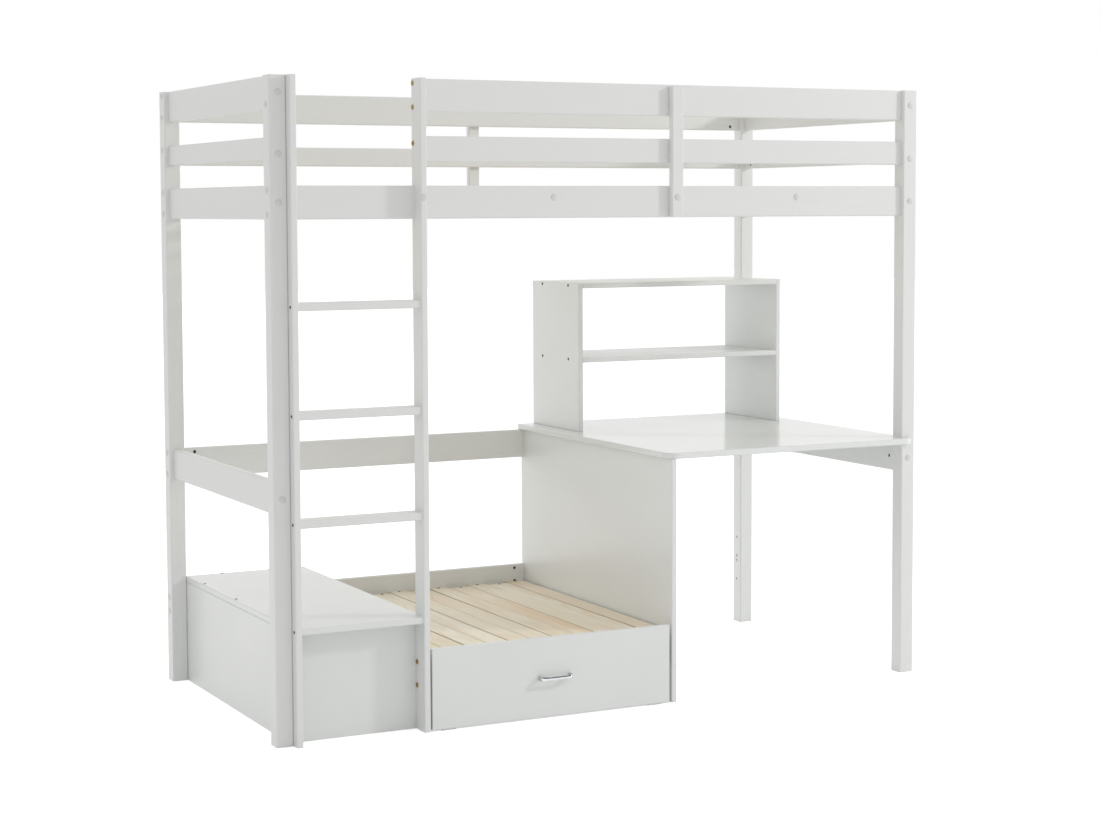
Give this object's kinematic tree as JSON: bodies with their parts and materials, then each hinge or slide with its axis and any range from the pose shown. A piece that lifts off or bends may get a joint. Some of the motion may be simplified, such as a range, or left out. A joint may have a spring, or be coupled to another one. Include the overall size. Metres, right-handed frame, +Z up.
{
  "type": "loft bed",
  "caption": "White loft bed with a ladder and step box, a slatted pull-out bench, a desk with a shelf hutch and guard rails all round",
  "frame": {"origin": "on the floor, in the middle of the outline of the bed", "axes": "X along the bed from the ladder end to the desk end, Y from the front to the wall side, Z up"},
  "size_m": [2.084, 1.0394, 1.79],
  "materials": {
    "white_paint": "satin white lacquer on pine and board",
    "raw_pine": "raw planed pine",
    "chrome": "polished chrome plate",
    "zinc_steel": "yellow zinc plate",
    "nylon": "plain nylon"
  },
  "bodies": {
    "base": {"back_bed_rail": "white_paint", "back_bench_rail": "white_paint", "back_guard_support": "white_paint", "back_low_rail": "white_paint", "back_middle_rail": "white_paint", "back_top_rail": "white_paint", "barrel_nuts": "zinc_steel", "bed_ledger_back": "raw_pine", "bed_ledger_front": "raw_pine", "bed_slats": "raw_pine", "bench_back_ledger": "raw_pine", "bench_fixed_slats": "raw_pine", "bench_front_bar": "white_paint", "bench_runner_left": "raw_pine", "bench_runner_right": "raw_pine", "connector_bolts": "zinc_steel", "desk_top": "white_paint", "divider_panel": "white_paint", "front_bed_rail": "white_paint", "front_guard_middle_rail": "white_paint", "front_guard_support": "white_paint", "front_guard_top_rail": "white_paint", "hutch_left_panel": "white_paint", "hutch_middle_shelf": "white_paint", "hutch_right_panel": "white_paint", "hutch_top_shelf": "white_paint", "ladder_rung_1": "white_paint", "ladder_rung_2": "white_paint", "ladder_rung_3": "white_paint", "ladder_stile_left": "white_paint", "ladder_stile_right": "white_paint", "left_end_bed_rail": "white_paint", "left_end_low_rail": "white_paint", "left_end_middle_rail": "white_paint", "left_end_top_rail": "white_paint", "post_back_left": "white_paint", "post_back_right": "white_paint", "post_front_left": "white_paint", "post_front_right": "white_paint", "right_end_bed_rail": "white_paint", "right_end_low_rail": "white_paint", "right_end_middle_rail": "white_paint", "right_end_top_rail": "white_paint", "step_back_panel": "white_paint", "step_front_panel": "white_paint", "step_left_panel": "white_paint", "step_right_panel": "white_paint", "step_top": "white_paint"},
    "pullout": {"pull_handle": "chrome", "pullout_front_panel": "white_paint", "pullout_glides": "nylon", "pullout_ledger": "raw_pine", "pullout_rear_bar": "raw_pine", "pullout_slats": "raw_pine"}
  },
  "joints": [
    {"name": "bench_pullout", "type": "slide", "parent": "base", "child": "pullout", "axis": [0, -1, 0], "range_m": [0, 0.867]}
  ]
}
